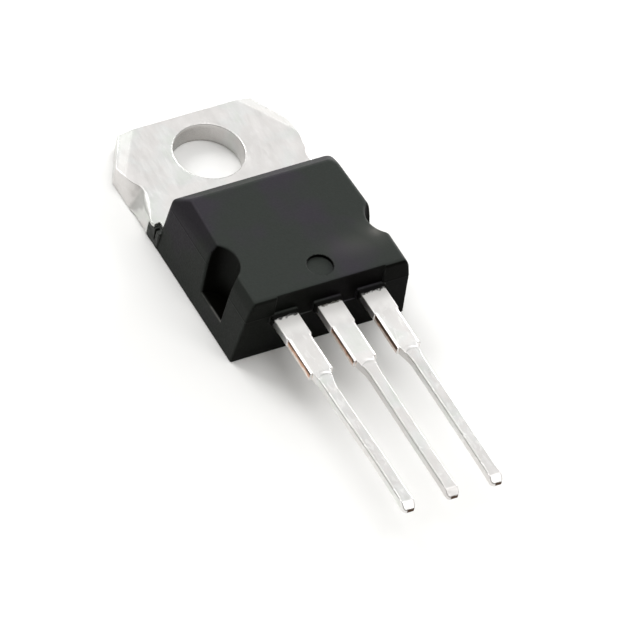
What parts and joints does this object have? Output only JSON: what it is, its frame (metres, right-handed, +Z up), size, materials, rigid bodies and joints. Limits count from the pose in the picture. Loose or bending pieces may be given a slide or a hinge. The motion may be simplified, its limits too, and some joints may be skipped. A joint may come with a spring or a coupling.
{
  "type": "three-lead voltage regulator",
  "caption": "Linear voltage regulator in a flat power package: black moulded body, drilled metal heatsink tab with cut corners, and a row of straight tinned leads.",
  "frame": {"origin": "centre of the mounting hole, on the back face of the heatsink tab", "axes": "+Z up out of the marked face and along the mounting hole, +Y from the hole to the free end of the tab, so the leads run towards -Y; +X is to the right seen from above with the leads towards the viewer"},
  "size_m": [0.0104, 0.0292, 0.0044],
  "materials": {
    "moulding_compound": "matte",
    "tinned_tab": "satin",
    "tinned_lead": "satin",
    "silicon": "polished",
    "die_solder": "satin",
    "bond_wire": "satin"
  },
  "bodies": {
    "root": {"moulded_body": "moulding_compound", "heatsink_tab": "tinned_tab", "input_lead": "tinned_lead", "output_lead": "tinned_lead", "silicon_die": "silicon", "die_attach_solder": "die_solder", "input_bond_wire": "bond_wire", "output_bond_wire": "bond_wire", "output_sense_wire": "bond_wire", "ground_bond_wire": "bond_wire"}
  },
  "joints": []
}
